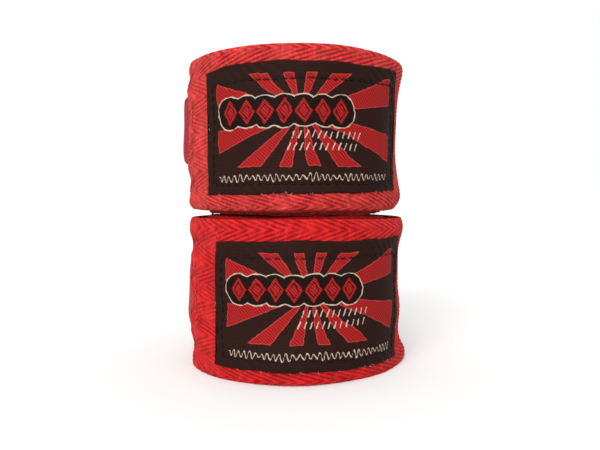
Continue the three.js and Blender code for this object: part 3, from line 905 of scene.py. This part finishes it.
def studio(axis):
    # The camera, the broad light, an even white surround, and a square of floor under the rolls.
    camera = bpy.data.objects.new("camera", bpy.data.cameras.new("camera"))
    camera.location = [mm * (a + b) for a, b in zip((*axis, 0.0), view["from"])]
    camera.rotation_euler = (math.radians(90 - view["down"]), 0, 0)
    camera.data.lens, camera.data.sensor_width = view["lens"], 36
    camera.data.clip_start = 0.01
    bpy.context.scene.collection.objects.link(camera)
    bpy.context.scene.camera = camera
    for name, (x, y, z), strength, span, colour in lights:
        lamp = bpy.data.objects.new(name, bpy.data.lights.new(name, "SUN"))
        lamp.data.energy, lamp.data.angle, lamp.data.color = strength, math.radians(span), colour
        lamp.location = (x, y, z)
        lamp.rotation_euler = (math.atan2(math.hypot(x, y), z), 0, math.atan2(x, -y))
        bpy.context.scene.collection.objects.link(lamp)
    world = bpy.data.worlds.new("studio")
    world.use_nodes = True
    world.node_tree.nodes["Background"].inputs[0].default_value = (1, 1, 1, 1)
    world.node_tree.nodes["Background"].inputs[1].default_value = 1.0
    bpy.context.scene.world = world
    bpy.context.scene.view_settings.view_transform = "Standard"
    floor = finishOf("pale floor", **{"Base Color": (0.68, 0.68, 0.68, 1), "Roughness": 0.9})[0]
    corner = 4.0 * np.array([[-1, -1, 0], [1, -1, 0], [1, 1, 0], [-1, 1, 0.0]])
    ground = makePiece("floor", corner, np.array([[0, 1, 2, 3]]), floor)


for roll in rolls:
    standing(roll)
studio(rolls[0]["axis"])
print("camera and lights are in place")

# One roll after the other


def surfaceOf(roll, angle):
    # A place on the roll's outer face at mid height, in the frame.
    return [float(x) for x in wrapped(roll, lengthAt(angle), winding["width"] / 2, 0.0)]


def rolledWrap(roll):
    # Makes every piece of one roll with its finish, ties all but the fold and tab stretches to the body that
    # they move with, and hides the parts that they stand for.
    side = roll["name"]
    nameOf = lambda piece: f"{side}_{piece}"
    body = {part: f"{side}_{part}" for part in ("roll", "tail", "tab")}
    cut = {"under": lengthAt(-380), "back": lengthAt(-172), "label": lengthAt(57), "hem": lengthAt(hem)}
    cut = {place: round(length / ribStep) * ribStep for place, length in cut.items()}
    middle = winding["width"] / 2

    def settle(piece, where, slot, *nodes):
        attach(piece, body[where])
        if nodes:
            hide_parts(*[nameOf(node) for node in nodes])

    def bending(piece, first, second, angle, *nodes):
        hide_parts(*[nameOf(node) for node in nodes])
        start, end = surfaceOf(roll, angle - 2.3), surfaceOf(roll, angle + 2.3)
        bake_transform(piece)

    turns = innerTurns(roll, nameOf("inner_turns"), -360.0 * winding["turns"], -380.0)
    settle(turns, "roll", "cotton_band", "wound_band")
    outer = bandStretch(roll, nameOf("outer_turn"), cut["under"], cut["back"])
    settle(outer, "roll", "cotton_band", "wound_band")
    folded = bandStretch(roll, nameOf("fold_and_tail"), cut["back"], cut["label"])
    bending(folded, "roll", "tail", 0.0, "wound_band", "band_tail")
    tab = bandStretch(roll, nameOf("tail_and_tab"), cut["label"], cut["hem"], hemmed=True)
    bending(tab, "tail", "tab", tabFold, "band_tail", "band_end")
    print(side, "band is wound")

    face = wovenLabel(roll, nameOf("woven_label"))
    settle(face, "tail", "label_satin", "label")
    settle(labelStitches(roll, nameOf("label_stitches")), "tail", "black_thread", "label_stitching")
    settle(labelFrays(roll, nameOf("label_frays")), "tail", "label_satin")
    print(side, "label is sewn on")

    backing = hookStrap(roll, nameOf("strap_backing"))
    settle(backing, "tab", "hook_tape", "hook_strap")
    settle(strapHooks(roll, nameOf("strap_hooks")), "tab", "hook_tape")
    strapMiddle = middle + roll["strapRaise"]
    root = (lengthAt(rootFrom) + 1.6, lengthAt(hem) - 1.6, strapMiddle - 9.9, strapMiddle + 9.9)
    onEnd = lambda length, v: relief(roll, angleAt(length), v) - 0.06
    seam = seamOnCloth(roll, nameOf("strap_stitches"), box(*root), onEnd)
    settle(seam, "tab", "red_thread", "strap_stitching")
    tape = loopPatch(roll, nameOf("patch_backing"))
    settle(tape, "roll", "loop_pile", "loop_patch")
    settle(patchPile(roll, nameOf("patch_pile")), "roll", "loop_pile")
    start, end = patchStart(roll)
    around = box(start + 1.5, end - 1.5, middle - 11, middle + 11)
    seam = seamOnCloth(roll, nameOf("patch_stitches"), around, lambda length, v: 0.55 + 0 * v)
    settle(seam, "roll", "red_thread", "loop_patch_stitching")
    settle(thumbLoop(roll, nameOf("thumb_tape")), "roll", "cotton_tape", "thumb_loop")
    settle(bartack(roll, nameOf("thumb_bartack")), "roll", "red_thread", "thumb_loop_bartack")
    print(side, "fastening and thumb loop are in place")


for roll in rolls:
    rolledWrap(roll)
